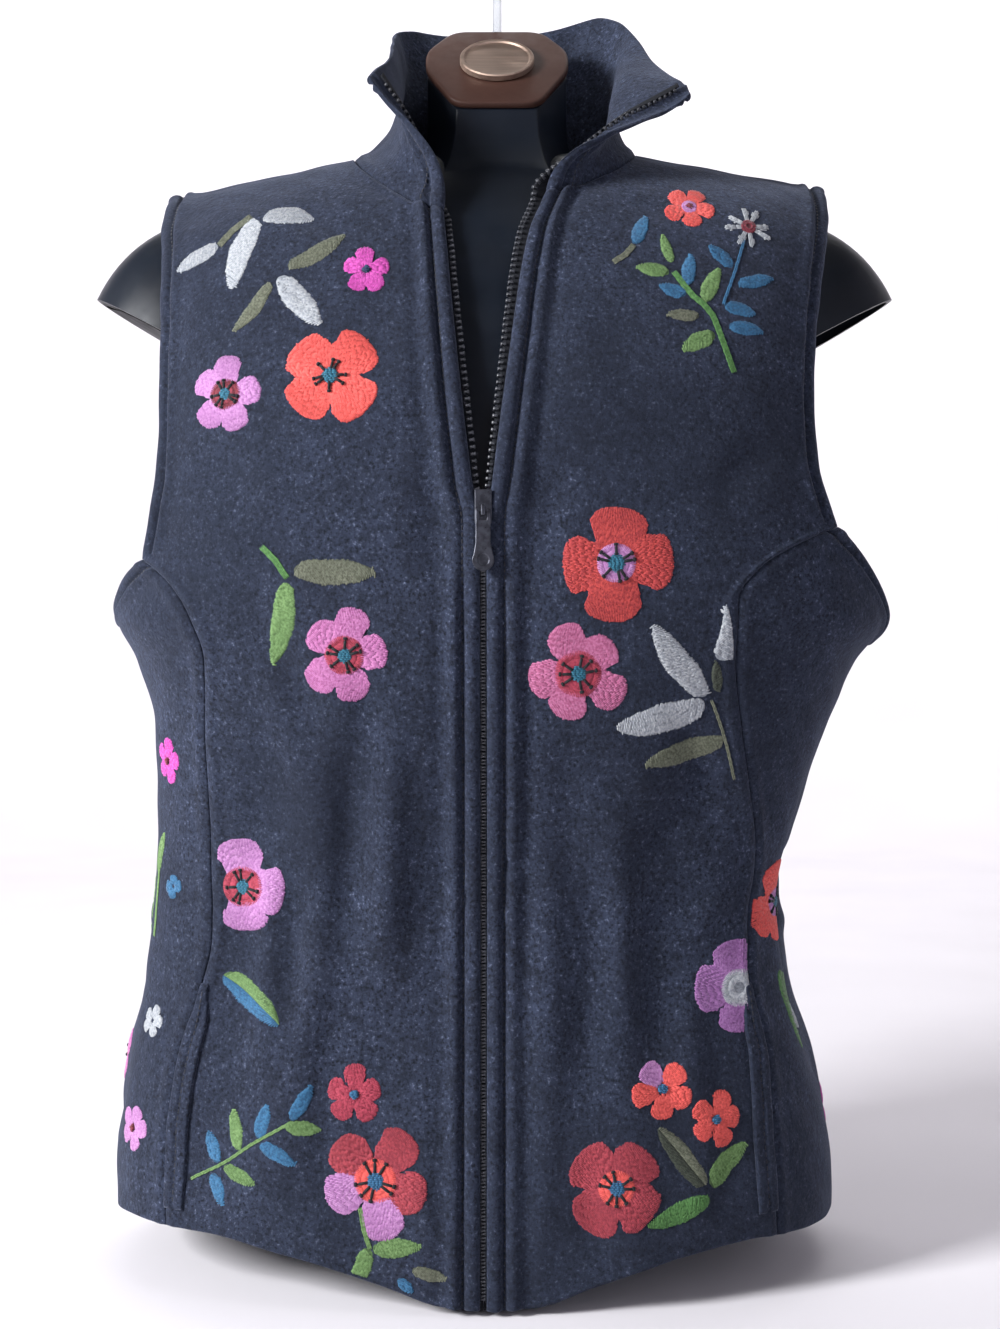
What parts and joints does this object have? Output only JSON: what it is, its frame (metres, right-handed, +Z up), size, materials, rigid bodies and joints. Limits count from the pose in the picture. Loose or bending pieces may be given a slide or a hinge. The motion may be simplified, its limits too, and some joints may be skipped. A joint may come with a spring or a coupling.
{
  "type": "sleeveless folk vest on a limbless torso display form",
  "caption": "Zip-front sleeveless wool vest with a turned-out stand collar and slant pockets, worn by a limbless torso display form with a hanging hook.",
  "frame": {"origin": "bottom centre of the whole part: the middle of its width and depth, at the flat base of the torso form", "axes": "+Z up, -Y out of the vest's front, +X towards the wearer's left"},
  "size_m": [0.4794, 0.257, 0.8096],
  "materials": {
    "felted_wool": "felted, matt",
    "zip_tape": "woven tape with moulded teeth",
    "gunmetal_zip": "dark grey, semi-gloss",
    "black_polystyrene": "black, glossy",
    "brown_neck_plate": "dark brown, satin",
    "brushed_disc": "plain metal disc, satin",
    "clear_hook": "clear plastic"
  },
  "bodies": {
    "garment": {"front_left": "felted_wool", "front_right": "felted_wool", "side_left": "felted_wool", "side_right": "felted_wool", "back": "felted_wool", "collar": "felted_wool", "pocket_left": "felted_wool", "pocket_right": "felted_wool", "zip_tape_left": "zip_tape", "zip_tape_right": "zip_tape", "zip_slider": "gunmetal_zip", "torso_form": "black_polystyrene", "neck_plate": "brown_neck_plate", "neck_disc": "brushed_disc", "hanging_hook": "clear_hook"},
    "pull_tab": {"zip_pull": "gunmetal_zip"}
  },
  "joints": [
    {"name": "pull_tab_hinge", "type": "hinge", "parent": "garment", "child": "pull_tab", "pos_m": [-0.0056, -0.12583, 0.4304], "axis": [-1, 0, 0], "range_deg": [-4, 150]}
  ]
}
